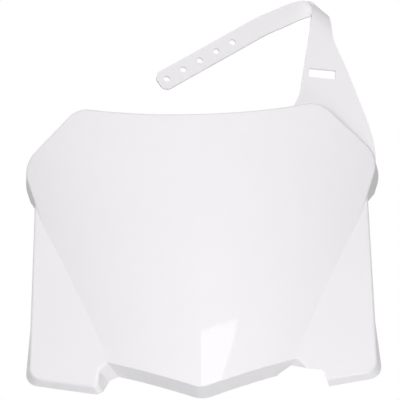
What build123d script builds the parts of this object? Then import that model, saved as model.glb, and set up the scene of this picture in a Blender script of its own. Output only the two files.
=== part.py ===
from build123d import *
import os
from math import cos, radians, sin, tan

# Motocross front number board, one injection moulding in white polypropylene.
# The face looks along -Y, +Z is up and the board is symmetric about X = 0,
# apart from the strap at its upper right corner and the cable notch at its lower right.

# Moulding. A face counts as part of the front when this share of its normal points forward,
# and a vertex is taken for a named corner when it lies this close to it.
wall = 2.2
prism_depth = 100.0
front_share = 0.7
corner_match = 0.01

# Outline of the shield, in the plane where it is drawn
shield_outline_y = -15.0
shield_draft = 8.0
shield_flange = 22.0
top_centre_z = 48.5
top_corner_x = 87.5
top_corner_z = 58.9
side_corner_x = 124.6
side_corner_z = 24.0
side_end_x = 77.1
side_end_z = -122.4
keel_tip_z = -152.6
top_corner_radius = 14.0
side_corner_radius = 14.0
keel_tip_radius = 12.0
shield_edge_radius = 2.0
keel_edge_radius = 0.8

# Curve of the shield's face at two heights
form_half_span = 150.0
upper_z = 70.0
upper_rise = 8.3
upper_side_y = 26.8
lower_z = -170.0
lower_rise = 9.5
lower_side_y = 78.8
lower_keel_angle = 5.5

# Where the shield's flange runs out, back and up at each side of the waist
waist_trim_x = 85.0
waist_trim_low = (27.5, -22.0)
waist_trim_high = (49.5, 1.0)

# Flat wings, turned back from the middle and leaning a little, and the outline of the right one
wing_y = -5.4
wing_form_size = 600.0
wing_turn = 14.5
wing_lean = 2.3
wing_outline_y = 0.0
wing_draft = 22.0
wing_flange = 8.0
wing_edge_radius = 2.6
wing_top = (110.7, -4.0)
foot_side = (113.8, -130.5)
foot_slope = 18.6
foot_inner_x = 75.8
cheek_top = (75.4, -133.4)
cheek_end = (58.0, -120.7)
wing_root_low = (50.0, -110.0)
wing_root_high = (96.0, -4.0)
foot_corner_radius = 12.0
foot_tip_radius = 4.0
cheek_radius = 3.5

# The wing's outer wall, which is shallow and deepens back and down round the foot's corner
side_trim_x = 100.0
side_trim_high = (27.3, 10.0)
side_trim_low = (23.7, -100.0)
side_trim_end = (32.5, -144.0)

# The foot's inner wall, which deepens from the sole up to the keel's wall
cheek_near_x = 50.0
cheek_far_x = 80.0
cheek_low = (15.3, -149.5)
cheek_high = (35.8, -125.0)

# Cable notch, cut through the right foot and rising towards the back
cable_y = 12.0
cable_rise = 18.0
cable_inner = (52.5, -141.0)
cable_peak = (61.9, -133.9)
cable_outer = (84.4, -137.5)
cable_foot = (88.6, -150.6)
cable_radius = 2.5

# Strap: a gusset panel, a bend to the back and a tail with adjusting holes.
# Points on it are across and up in the strap's own plane.
strap_thickness = 2.0
strap_width = 15.4
strap_turn = 10.0
strap_y = 6.5
panel_left_foot = (64.0, 58.0)
panel_left_flare = (76.3, 78.6)
panel_left_end = (84.3, 124.0)
panel_right_end = (104.3, 114.0)
panel_right_shoulder = (108.9, 102.6)
panel_right_hip = (122.2, 64.6)
panel_right_heel = (130.5, 27.5)
panel_right_foot = (129.8, 19.0)
panel_inner_right = (118.0, 4.0)
panel_inner_left = (62.0, 36.0)
slot_length = 20.0
slot_height = 7.2
slot_x = 93.0
slot_z = 91.0
slot_tilt = -3.0
slot_corner_radius = 0.8
bend_radius = 7.0
tail_start = (59.3, 138.9)
tail_slope = 32.9
tail_lead = 20.0
first_hole = (28.1, 119.9)
hole_diameter = 4.6
hole_pitch = 14.8
hole_count = 5
tail_end = 7.0
tail_corner_radius = 5.5

# Round the bend: angle turned back, then the places of the strap's left and right edges
bend_turn = 180
bend_stations = [
    (45, (88.0, 144.5), (101.4, 132.0)),
    (90, (89.3, 151.4), (99.7, 142.2)),
    (135, (85.4, 156.3), (95.5, 145.2)),
    (bend_turn, (76.6, 155.6), (87.0, 144.0)),
]
bend_sections = 15


def drawing_plane(y):
    """A plane facing the front, with X to the right and Z up."""
    return Plane(origin=(0, y, 0), x_dir=(1, 0, 0), z_dir=(0, -1, 0))


def behind(curves, side_y):
    """The area behind a front curve seen from above."""
    back_y = side_y + form_half_span
    rear = Polyline(
        (form_half_span, side_y),
        (form_half_span, back_y),
        (-form_half_span, back_y),
        (-form_half_span, side_y),
    )
    return make_face([*curves, rear])


def face_section(z, rise, side_y, keel_angle):
    """The face's curve at one height: two arcs that meet at the keel."""
    start = (cos(radians(keel_angle)), sin(radians(keel_angle)))
    right = TangentArc((0, -rise), (form_half_span, side_y), tangent=start)
    left = mirror(right, about=Plane.YZ)
    return Plane.XY.offset(z) * behind([right, left], side_y)


def shield_form():
    """Everything behind the shield's face, which grows a keel towards its lower end."""
    lower = face_section(lower_z, lower_rise, lower_side_y, lower_keel_angle)
    upper = face_section(upper_z, upper_rise, upper_side_y, 0)
    return loft([lower, upper], ruled=True)


def wing_form():
    """Everything behind the flat front of the right wing."""
    turn = tan(radians(wing_turn))
    front = Plane(origin=(0, wing_y, 0), x_dir=(1, turn, 0), z_dir=(turn, -1, tan(radians(wing_lean))))
    return extrude(front * Rectangle(wing_form_size, wing_form_size), amount=-form_half_span)


def rounded(face, corners, radius):
    """Round the corners of a flat outline that lie at the given points."""
    at_corner = lambda v: any(abs(v.X - x) + abs(v.Y - z) < corner_match for x, z in corners)
    return fillet(face.vertices().filter_by(at_corner), radius)


def shield_outline():
    """The shield: a hollowed top, raised corners, slanting sides and a keel tip."""
    top = ThreePointArc((-top_corner_x, top_corner_z), (0, top_centre_z), (top_corner_x, top_corner_z))
    rest = Polyline(
        (top_corner_x, top_corner_z),
        (side_corner_x, side_corner_z),
        (side_end_x, side_end_z),
        (0, keel_tip_z),
        (-side_end_x, side_end_z),
        (-side_corner_x, side_corner_z),
        (-top_corner_x, top_corner_z),
    )
    face = make_face([top, rest])
    face = rounded(face, [(0, keel_tip_z)], keel_tip_radius)
    face = rounded(face, [(s * top_corner_x, top_corner_z) for s in (1, -1)], top_corner_radius)
    return rounded(face, [(s * side_corner_x, side_corner_z) for s in (1, -1)], side_corner_radius)


def sole_end():
    """Where the sole of the right foot meets the foot's inner wall."""
    return foot_inner_x, foot_side[1] - (foot_side[0] - foot_inner_x) * tan(radians(foot_slope))


def wing_outline():
    """The right wing: its outer edge, the foot's sole and inner wall, and a root behind the shield."""
    visible = [wing_top, foot_side, sole_end(), cheek_top, cheek_end]
    return make_face(Polyline(*visible, wing_root_low, wing_root_high, close=True))


def drafted(outline, y, draft):
    """A prism on an outline that widens towards the back."""
    return extrude(drawing_plane(y) * outline, amount=prism_depth, dir=(0, 1, 0), taper=-draft)


def inset(outline, draft):
    """The outline inside the wall of a drafted side."""
    return offset(outline, -wall / cos(radians(draft)), kind=Kind.INTERSECTION)


def moved_back(form, depth):
    """The same form, deeper behind the front."""
    return form.moved(Location((0, depth, 0)))


def cheek_zone():
    """Where the right foot's inner wall stands deeper than the wing's flange."""
    side = Polyline(
        cheek_low,
        cheek_high,
        (shield_outline_y, cheek_high[1]),
        (shield_outline_y, cheek_low[1]),
        close=True,
    )
    return extrude(Plane.YZ.offset(cheek_near_x) * make_face(side), amount=cheek_far_x - cheek_near_x)


def cable_notch():
    """What is cut from the right foot for the cables."""
    face = make_face(
        Polyline(
            cable_inner,
            cable_peak,
            cable_outer,
            cable_foot,
            (cable_foot[0], lower_z),
            (cable_inner[0], lower_z),
            close=True,
        )
    )
    face = rounded(face, [cable_outer], cable_radius)
    back = (0, cos(radians(cable_rise)), sin(radians(cable_rise)))
    return extrude(drawing_plane(cable_y) * face, amount=prism_depth, dir=back, both=True)


def waist_trim():
    """What is cut from the right side of the shield's flange, which runs out behind the wing."""
    cut = Polyline(
        waist_trim_low,
        waist_trim_high,
        (form_half_span, waist_trim_high[1]),
        (form_half_span, lower_z),
        (waist_trim_low[0], lower_z),
        close=True,
    )
    return extrude(Plane.YZ.offset(waist_trim_x) * make_face(cut), amount=form_half_span, dir=(1, 0, 0))


def side_trim():
    """What is cut from the rear of the right wing's outer wall."""
    cut = Polyline(
        side_trim_high,
        side_trim_low,
        side_trim_end,
        (form_half_span, side_trim_end[1]),
        (form_half_span, side_trim_high[1]),
        close=True,
    )
    return extrude(Plane.YZ.offset(side_trim_x) * make_face(cut), amount=form_half_span, dir=(1, 0, 0))


def front_rim(solid):
    """The edges between the front of a solid and its sides."""
    front = [f for f in solid.faces() if f.normal_at().Y < -front_share]
    edges = [e for f in front for e in f.edges()]
    return ShapeList(e for e in edges if sum(e.is_same(other) for other in edges) == 1)


def strap_plane(depth):
    """The strap's own plane, turned to follow the board's curve, at a depth behind its panel."""
    across = (cos(radians(strap_turn)), sin(radians(strap_turn)), 0)
    front = (sin(radians(strap_turn)), -cos(radians(strap_turn)), 0)
    return Plane(origin=(0, strap_y, 0), x_dir=across, z_dir=front).offset(-depth)


def strap_plate(face, depth):
    """A flat stretch of strap, its thickness shared between both sides of its plane."""
    return extrude(strap_plane(depth) * face, amount=strap_thickness / 2, both=True)


def panel_sides():
    """The panel's left and right edges, both running up to the bend."""
    left = Line(panel_left_flare, panel_left_end)
    right = Spline(
        panel_right_foot,
        panel_right_heel,
        panel_right_hip,
        panel_right_shoulder,
        panel_right_end,
    )
    return left, right


def strap_panel():
    """The gusset that carries the strap up from the shield's corner, with its slot."""
    left, right = panel_sides()
    flare = TangentArc(panel_left_flare, panel_left_foot, tangent=left % 0 * -1)
    inner = Polyline(panel_left_foot, panel_inner_left, panel_inner_right, panel_right_foot)
    end = Line(panel_right_end, panel_left_end)
    slot = Rot(Z=slot_tilt) * RectangleRounded(slot_length, slot_height, slot_corner_radius)
    return strap_plate(make_face([left, flare, inner, right, end]) - Pos(slot_x, slot_z) * slot, 0)


def tail_middle():
    """The tail's middle line: a short curve from the bend, then straight along the holes."""
    along = Vector(-cos(radians(tail_slope)), -sin(radians(tail_slope)))
    straight_start = Vector(*first_hole) - along * tail_lead
    tip = Vector(*first_hole) + along * (hole_pitch * (hole_count - 1) + tail_end)
    return TangentArc(straight_start, tail_start, tangent=along * -1), Line(straight_start, tip)


def strap_tail():
    """The tail behind the panel, with its row of holes and a rounded end."""
    curve, straight = tail_middle()
    tip = straight @ 1
    half_end = (straight % 1).rotate(Axis.Z, 90) * (strap_width / 2)
    corners = [(corner.X, corner.Y) for corner in (tip + half_end, tip - half_end)]
    face = rounded(trace([curve, straight], strap_width), corners, tail_corner_radius)
    for number in range(hole_count):
        hole = Vector(*first_hole) + straight % 0 * (hole_pitch * number)
        face -= Pos(hole) * Circle(hole_diameter / 2)
    return strap_plate(face, 2 * bend_radius)


def bend_edge(stations, start_direction, end_direction):
    """One edge of the bend, from the panel round to the tail."""
    points = []
    for turn, place in stations:
        depth = bend_radius * (1 - cos(radians(turn)))
        points.append(strap_plane(depth).from_local_coords(Vector(*place)))
    plane = strap_plane(0)
    tangents = [plane.from_local_coords(d) - plane.origin for d in (start_direction, end_direction)]
    return Spline(*points, tangents=tangents)


def bend_section(left_edge, right_edge, along):
    """The strap's cross-section at a share of the way round the bend."""
    left = left_edge @ along
    right = right_edge @ along
    across = (right - left).normalized()
    travel = left_edge % along + right_edge % along
    travel -= across * travel.dot(across)
    plane = Plane(origin=(left + right) / 2, x_dir=across, z_dir=travel)
    return plane * Rectangle((right - left).length, strap_thickness)


def strap_bend():
    """The bend that turns the strap back on itself between the panel and the tail."""
    tail_direction = tail_middle()[0] % 1 * -1
    up = Vector(tail_direction.Y, -tail_direction.X) * (strap_width / 2)
    panel_ends = (panel_left_end, panel_right_end)
    tail_ends = (Vector(*tail_start) + up, Vector(*tail_start) - up)
    edges = []
    for side, panel_side in enumerate(panel_sides()):
        stations = [(0, panel_ends[side])]
        stations += [(station[0], station[1 + side]) for station in bend_stations]
        stations += [(bend_turn, tail_ends[side])]
        edges.append(bend_edge(stations, panel_side % 1, tail_direction))
    shares = [number / (bend_sections - 1) for number in range(bend_sections)]
    return loft([bend_section(*edges, share) for share in shares])


def wing_prism(outline, thickness):
    """The right wing taken back with its draft, its corners rounded at a depth inside its surface."""
    prism = drafted(outline, wing_outline_y, wing_draft)
    for corner, radius in (
        (foot_side, foot_corner_radius - thickness),
        (sole_end(), foot_tip_radius - thickness),
        (cheek_top, cheek_radius + thickness),
    ):
        front = prism.faces().sort_by(Axis.Y)[0]
        running_back = prism.edges() - front.edges()
        prism = fillet(running_back.sort_by_distance((corner[0], wing_outline_y, corner[1]))[0], radius)
    return prism


def right_wing(outline, form):
    """The outside of the right wing, down to the rear edges of its flange and its inner wall."""
    rear = moved_back(form, wing_flange) - cheek_zone()
    return (wing_prism(outline, 0) & form) - rear - side_trim()


def wing_hollow(outline, form):
    """The space inside the wall of the right wing, open at the back."""
    return wing_prism(inset(outline, wing_draft), wall) & moved_back(form, wall)


def number_board():
    """The whole moulding, with the middle of its box at the origin."""
    face_form = shield_form()
    shield = shield_outline()
    behind_shield = drafted(shield, shield_outline_y, shield_draft) & face_form
    shield_skin = behind_shield - moved_back(face_form, shield_flange)
    upper_rim = [e for e in front_rim(shield_skin) if e.center().Z > side_end_z]
    shield_skin = fillet(upper_rim, shield_edge_radius)
    keel_rim = [e for e in front_rim(shield_skin) if e.center().Z < side_end_z]
    shield_skin = fillet(keel_rim, keel_edge_radius)
    shield_inside = drafted(inset(shield, shield_draft), shield_outline_y, shield_draft)
    shield_inside = shield_inside & moved_back(face_form, wall)

    side_form = wing_form()
    outline = wing_outline()
    wing = right_wing(outline, side_form)
    wing_rim = [e for e in front_rim(wing) if not behind_shield.is_inside(e.center())]
    wing = fillet(wing_rim, wing_edge_radius)
    wing_inside = wing_hollow(outline, side_form)

    waist_cut = waist_trim()
    board = shield_skin - waist_cut - mirror(waist_cut, about=Plane.YZ)
    board += wing
    board += mirror(wing, about=Plane.YZ)
    board += strap_panel()
    board -= shield_inside
    board -= wing_inside
    board -= mirror(wing_inside, about=Plane.YZ)
    board -= cable_notch()

    board += strap_bend()
    board += strap_tail()
    middle = board.bounding_box().center()
    return board.moved(Location((0, -middle.Y, -middle.Z)))


board = number_board()
board.label = "number_board"

os.makedirs("parts", exist_ok=True)
export_step(board, "parts/number_board.step")
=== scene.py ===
import math

import bmesh
import bpy
from mathutils import Matrix, Vector


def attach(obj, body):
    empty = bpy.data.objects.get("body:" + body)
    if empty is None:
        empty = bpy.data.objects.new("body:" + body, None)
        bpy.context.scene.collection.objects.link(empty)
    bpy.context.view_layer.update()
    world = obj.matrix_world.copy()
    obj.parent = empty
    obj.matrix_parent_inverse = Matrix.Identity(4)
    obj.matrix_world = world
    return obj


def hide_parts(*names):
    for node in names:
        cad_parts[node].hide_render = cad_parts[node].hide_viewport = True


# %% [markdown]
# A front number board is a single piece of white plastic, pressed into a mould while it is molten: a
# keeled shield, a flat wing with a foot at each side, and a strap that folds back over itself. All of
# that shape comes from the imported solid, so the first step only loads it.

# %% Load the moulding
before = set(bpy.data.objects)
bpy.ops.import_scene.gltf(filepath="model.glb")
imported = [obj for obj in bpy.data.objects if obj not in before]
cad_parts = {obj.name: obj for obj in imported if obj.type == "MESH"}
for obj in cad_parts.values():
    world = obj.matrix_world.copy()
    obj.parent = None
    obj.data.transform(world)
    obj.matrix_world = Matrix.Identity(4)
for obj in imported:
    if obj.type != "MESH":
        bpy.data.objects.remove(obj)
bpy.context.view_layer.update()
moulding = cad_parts["number_board"]

# %% [markdown]
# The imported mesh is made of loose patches, one for each face of the solid, so its shading breaks at
# every seam, even where a rounded edge runs smoothly into a flat. A copy with those seams merged can
# be shaded as one surface. The seams are tagged before they are merged, because three kinds of them
# have to stay crisp. Corners turn by a wide angle. The crease between shield and wing turns by only
# about ten degrees, but it is a valley in the front, and rounded edges never make one there. The keel
# is a ridge on the board's middle plane. It fades into the curve of the shield further up, so two cuts
# across the copy end the crisp part at a height of its own. Last, a modifier lets each wide face lead
# the normals along its border: otherwise the narrow rounded edges would bend the shading of the flats.

# %% Merge a copy of the moulding
SEAM = 0.00002
CORNER_ANGLE = math.radians(28)
CREASE_ANGLE = math.radians(4)
KEEL_TOP = -0.105
KEEL_FADE = 0.006
FRONT_SHARE = 0.6
WIDE_FACE_WEIGHT = 90


def is_crisp(edge):
    """Whether a seam of the solid is a corner, a crease in the front or the keel."""
    turn = edge.calc_face_angle_signed()
    if abs(turn) > CORNER_ANGLE:
        return True
    in_front = all(face.normal.y < -FRONT_SHARE for face in edge.link_faces)
    on_keel = all(abs(vert.co.x) < SEAM and vert.co.z < KEEL_TOP + SEAM for vert in edge.verts)
    return in_front and (turn < -CREASE_ANGLE or on_keel)


def merged_copy(source, name):
    """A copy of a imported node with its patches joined, smooth apart from its crisp seams."""
    mesh = bpy.data.meshes.new(name)
    bm = bmesh.new()
    bm.from_mesh(source.data)
    for edge in bm.edges:
        edge.seam = edge.is_boundary
    bmesh.ops.remove_doubles(bm, verts=bm.verts, dist=SEAM)
    for height in (KEEL_TOP, KEEL_TOP - KEEL_FADE):
        whole = bm.verts[:] + bm.edges[:] + bm.faces[:]
        bmesh.ops.bisect_plane(bm, geom=whole, plane_co=(0, 0, height), plane_no=(0, 0, 1))
    bm.normal_update()
    for face in bm.faces:
        face.smooth = True
    for edge in bm.edges:
        edge.smooth = edge.is_manifold and not (edge.seam and is_crisp(edge))
        edge.seam = False
    print(name, len(bm.faces), "faces,", sum(not edge.smooth for edge in bm.edges), "crisp edges")
    bm.to_mesh(mesh)
    bm.free()
    piece = bpy.data.objects.new(name, mesh)
    even = piece.modifiers.new("wide_faces_lead", "WEIGHTED_NORMAL")
    even.weight = WIDE_FACE_WEIGHT
    even.keep_sharp = True
    bpy.context.scene.collection.objects.link(piece)
    return piece


board = merged_copy(moulding, "board_shell")
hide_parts("number_board")
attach(board, "root")

# %% [markdown]
# A finish is easier to read as sums than as a list of nodes and links. A small class wraps a socket,
# so that a plus or a times sign adds the Math node it stands for. One method makes every other node,
# from its type, its settings and what goes into its sockets.

# %% Shader helpers
SHOWING_RAYS = ("Is Camera Ray", "Is Glossy Ray", "Is Transmission Ray")


class Value:
    """A socket that can be used in sums."""

    def __init__(self, tree, socket):
        self.tree = tree
        self.socket = socket

    def math(self, operation, first, second):
        node = self.tree.nodes.new("ShaderNodeMath")
        node.operation = operation
        connect(self.tree, node.inputs[0], first)
        connect(self.tree, node.inputs[1], second)
        return Value(self.tree, node.outputs[0])

    def __add__(self, other):
        return self.math("ADD", self, other)

    def __radd__(self, other):
        return self.math("ADD", other, self)

    def __mul__(self, other):
        return self.math("MULTIPLY", self, other)

    def __rmul__(self, other):
        return self.math("MULTIPLY", other, self)


def connect(tree, slot, value):
    """Link a wrapped socket, or set a plain number or colour."""
    if isinstance(value, Value):
        tree.links.new(value.socket, slot)
    else:
        slot.default_value = value


class Finish:
    """The node tree of a material or a world while it is being filled."""

    def __init__(self, owner):
        owner.use_nodes = True
        self.owner = owner
        self.tree = owner.node_tree
        self.tree.nodes.clear()

    def node(self, kind, sockets, settings=(), output=0):
        """Add a node: settings go on it first, then values or links on its sockets."""
        made = self.tree.nodes.new("ShaderNode" + kind)
        for name, value in dict(settings).items():
            setattr(made, name, value)
        for name, value in sockets.items():
            connect(self.tree, made.inputs[name], value)
        return Value(self.tree, made.outputs[output]) if made.outputs else made

    def seen_directly(self):
        """One for rays that show a thing to the camera, straight or in a reflection, else nothing."""
        rays = [self.node("LightPath", {}, output=name) for name in SHOWING_RAYS]
        return self.node("Clamp", {"Value": rays[0] + rays[1] + rays[2]})


print("a ray shows a thing if it is one of", SHOWING_RAYS)

# %% [markdown]
# Polypropylene copies the steel of its mould, which was polished here, so the board comes out glossy.
# The melt cools unevenly while it flows: wide, soft clouds are left in the gloss and in the white,
# about one part in a hundred, and a very shallow ripple makes a reflection's outline tremble a little.
# Two noises on the board's own coordinates make all three, so they stay on the plastic from any side.

# %% White moulded plastic
CLEAN_WHITE = (0.886, 0.867, 0.894, 1.0)
FLOW_WHITE = (0.868, 0.850, 0.874, 1.0)
CLOUD_SCALE = 16.0
CLOUD_DETAIL = 3.0
RIPPLE_SCALE = 60.0
RIPPLE_DETAIL = 2.0
RIPPLE_DEPTH = 0.000002
POLISH = 0.02
POLISH_SPREAD = 0.02
PLASTIC_IOR = 1.49
plastic = Finish(bpy.data.materials.new("white_moulded_plastic"))
place = plastic.node("TexCoord", {}, output="Object")
cloud = plastic.node("TexNoise", {"Vector": place, "Scale": CLOUD_SCALE, "Detail": CLOUD_DETAIL})
ripple = plastic.node("TexNoise", {"Vector": place, "Scale": RIPPLE_SCALE, "Detail": RIPPLE_DETAIL})
white = plastic.node(
    "Mix",
    {0: cloud, 6: CLEAN_WHITE, 7: FLOW_WHITE},
    settings={"data_type": "RGBA"},
    output=2,
)
bump = plastic.node("Bump", {"Height": ripple, "Strength": 1.0, "Distance": RIPPLE_DEPTH})
haze = POLISH + POLISH_SPREAD * cloud
surface = plastic.node(
    "BsdfPrincipled",
    {"Base Color": white, "Roughness": haze, "IOR": PLASTIC_IOR, "Normal": bump},
)
plastic.node("OutputMaterial", {"Surface": surface})
board.data.materials.clear()
board.data.materials.append(plastic.owner)
print("plastic:", len(plastic.tree.nodes), "nodes")

# %% [markdown]
# The board was photographed on a white ground with nothing around it. The ground here is a wide paper
# disc, well below the board. Most of what the camera or the gloss sees of it is a glow at a strength of
# one, which is white; the rest is lit paper, which keeps the board's soft shadow. The glow lights
# nothing, so the search for it as a lamp is switched off, and that leaves less grain in the picture.

# %% Floor
FLOOR_Z = -0.85
FLOOR_RADIUS = 20.0
FLOOR_SIDES = 64
GLOW_SHARE = 0.85
PAPER = (0.8, 0.8, 0.8, 1.0)
WHITE = (1.0, 1.0, 1.0, 1.0)
floor_mesh = bpy.data.meshes.new("floor")
bm = bmesh.new()
bmesh.ops.create_circle(bm, cap_ends=True, radius=FLOOR_RADIUS, segments=FLOOR_SIDES)
bmesh.ops.translate(bm, verts=bm.verts, vec=(0, 0, FLOOR_Z))
bm.to_mesh(floor_mesh)
bm.free()
floor = bpy.data.objects.new("floor", floor_mesh)
bpy.context.scene.collection.objects.link(floor)
paper = Finish(bpy.data.materials.new("white_paper"))
sheet = paper.node("BsdfDiffuse", {"Color": PAPER})
glow = paper.node("Emission", {"Color": WHITE, "Strength": 1.0})
ground = paper.node("MixShader", {0: GLOW_SHARE * paper.seen_directly(), 1: sheet, 2: glow})
paper.node("OutputMaterial", {"Surface": ground})
paper.owner.cycles.emission_sampling = "NONE"
floor_mesh.materials.append(paper.owner)
print("floor at", FLOOR_Z, "m")

# %% [markdown]
# A world's strength sets how much light comes from everywhere at once. It is kept low, so that the
# lamps can model the form. Only the rays that show the background, to the camera or in a reflection,
# get a strength of one, which is white.

# %% World
AMBIENT = 0.15
world = bpy.data.worlds.new("studio")
bpy.context.scene.world = world
studio = Finish(world)
strength = AMBIENT + (1.0 - AMBIENT) * studio.seen_directly()
sky = studio.node("Background", {"Color": WHITE, "Strength": strength})
studio.node("OutputWorld", {"Surface": sky})
print("world strength", AMBIENT)

# %% [markdown]
# White plastic shows its form by small steps of tone alone, so each soft box has one task. The key is
# broad and stands in front, a little lower than the board. The top one lifts the strap and the upper
# face. A small one at the side lightens the undersides on the right. One behind lights the hollow back
# and the paper below, which throws a soft grey up onto the keel's wall and the soles of the feet. They
# are weak enough that the face stays below white, since a surface that clips has lost its form. None of
# them shows in the gloss: a lamp's mirror image would be a hard patch, and the photo has only one, which
# comes next.

# %% Lamps


def direction(azimuth, elevation):
    """A unit vector from the board's middle: turned to the right from the front, then raised."""
    turn = math.radians(azimuth)
    rise = math.radians(elevation)
    return Vector((math.sin(turn) * math.cos(rise), -math.cos(turn) * math.cos(rise), math.sin(rise)))


def lamp(name, azimuth, elevation, distance, width, height, watts):
    """A soft box in a direction from the board's middle, facing it and kept out of its gloss."""
    away = direction(azimuth, elevation)
    data = bpy.data.lights.new(name, "AREA")
    data.shape = "RECTANGLE"
    data.size = width
    data.size_y = height
    data.energy = watts
    box = bpy.data.objects.new(name, data)
    box.location = away * distance
    box.rotation_euler = away.to_track_quat("Z", "Y").to_euler()
    box.visible_glossy = False
    bpy.context.scene.collection.objects.link(box)


lamp("key", azimuth=0, elevation=-9, distance=1.4, width=1.2, height=0.7, watts=13.9)
lamp("top", azimuth=-30, elevation=62, distance=2.0, width=1.0, height=1.0, watts=11.0)
lamp("side", azimuth=65, elevation=-50, distance=0.9, width=0.5, height=0.5, watts=1.1)
lamp("back", azimuth=180, elevation=10, distance=2.0, width=0.6, height=0.6, watts=25.0)
print("lamps:", [light.name for light in bpy.data.lights])

# %% [markdown]
# Gloss shows what stands round the board, and two such things can be told from the photo. The bright
# patch with slanted sides beside the keel is the image of a light panel in front: the corners of the
# card below were found by following the view from the patch's corners along their reflections. The
# sides of the shield's ears are grey. They are seen at a grazing angle, where even plastic is nearly a
# mirror, so something grey stood behind at each side. Photographers put flags there, just outside the
# picture, to give white goods an edge on a white ground. All three sheets show only in reflections.

# %% Card and flags
CARD_GLOW = 3.1
CARD_DISTANCE = 2.0
CARD_TURN = 13
CARD_RISE = 11
CARD_CORNERS = ((-0.35, 0.070), (-0.35, -0.085), (0.06, -0.085), (0.318, 0.026))
FLAG_GLOW = 0.6
FLAG_DISTANCE = 0.75
FLAG_TURN = 152
FLAG_RISE = 22
FLAG_CORNERS = ((-0.18, 0.28), (-0.18, -0.28), (0.18, -0.28), (0.18, 0.28))


def reflected_sheet(name, away, distance, corners, glow):
    """A flat sheet that faces the board and shows only in its gloss."""
    right = away.cross(Vector((0, 0, -1))).normalized()
    up = away.cross(right)
    mesh = bpy.data.meshes.new(name)
    bm = bmesh.new()
    bm.faces.new([bm.verts.new(away * distance + right * across + up * rise) for across, rise in corners])
    bm.to_mesh(mesh)
    bm.free()
    piece = bpy.data.objects.new(name, mesh)
    piece.visible_camera = False
    piece.visible_diffuse = False
    piece.visible_shadow = False
    bpy.context.scene.collection.objects.link(piece)
    light = Finish(bpy.data.materials.new(name))
    shine = light.node("Emission", {"Color": WHITE, "Strength": glow})
    light.node("OutputMaterial", {"Surface": shine})
    light.owner.cycles.emission_sampling = "NONE"
    mesh.materials.append(light.owner)
    print(name, "glows at", glow)


reflected_sheet("card", direction(CARD_TURN, CARD_RISE), CARD_DISTANCE, CARD_CORNERS, CARD_GLOW)
for name, turn in (("flag_left", -FLAG_TURN), ("flag_right", FLAG_TURN)):
    reflected_sheet(name, direction(turn, FLAG_RISE), FLAG_DISTANCE, FLAG_CORNERS, FLAG_GLOW)

# %% [markdown]
# The photo looks up at the board from a little below: the keel's wall and the soles show, and the upper
# edges don't. The camera stands at the angle at which the solid's corners fall on the same points of
# the picture. How much of the board one pixel covers gives the focal length. The board isn't in the
# middle of the picture, so the aim is moved by a number of pixels. The plain view transform lets a
# colour show as it was written.

# %% Camera
YAW = 2.2
PITCH = 18.0
ROLL = 0.72
DISTANCE = 1.3
SENSOR = 36.0
AIM = Vector((0.0, -0.0159, -0.0507))
SCALE = 0.00071
PIXELS = 400
PIXELS_UP = 50
PIXELS_RIGHT = 0.4
away = direction(YAW, -PITCH)
lens = bpy.data.cameras.new("photo_camera")
lens.sensor_width = SENSOR
lens.lens = SENSOR * DISTANCE / (PIXELS * SCALE)
camera = bpy.data.objects.new("photo_camera", lens)
camera.location = AIM + away * DISTANCE
right = away.cross(Vector((0, 0, -1))).normalized()
up = away.cross(right)
middle = AIM + PIXELS_UP * SCALE * up + PIXELS_RIGHT * SCALE * right
tilt = Matrix.Rotation(-math.radians(ROLL), 3, "Z")
aim = (camera.location - middle).to_track_quat("Z", "Y").to_matrix() @ tilt
camera.rotation_euler = aim.to_euler()
bpy.context.scene.collection.objects.link(camera)
bpy.context.scene.camera = camera
bpy.context.scene.view_settings.view_transform = "Standard"
print("camera at", camera.location)
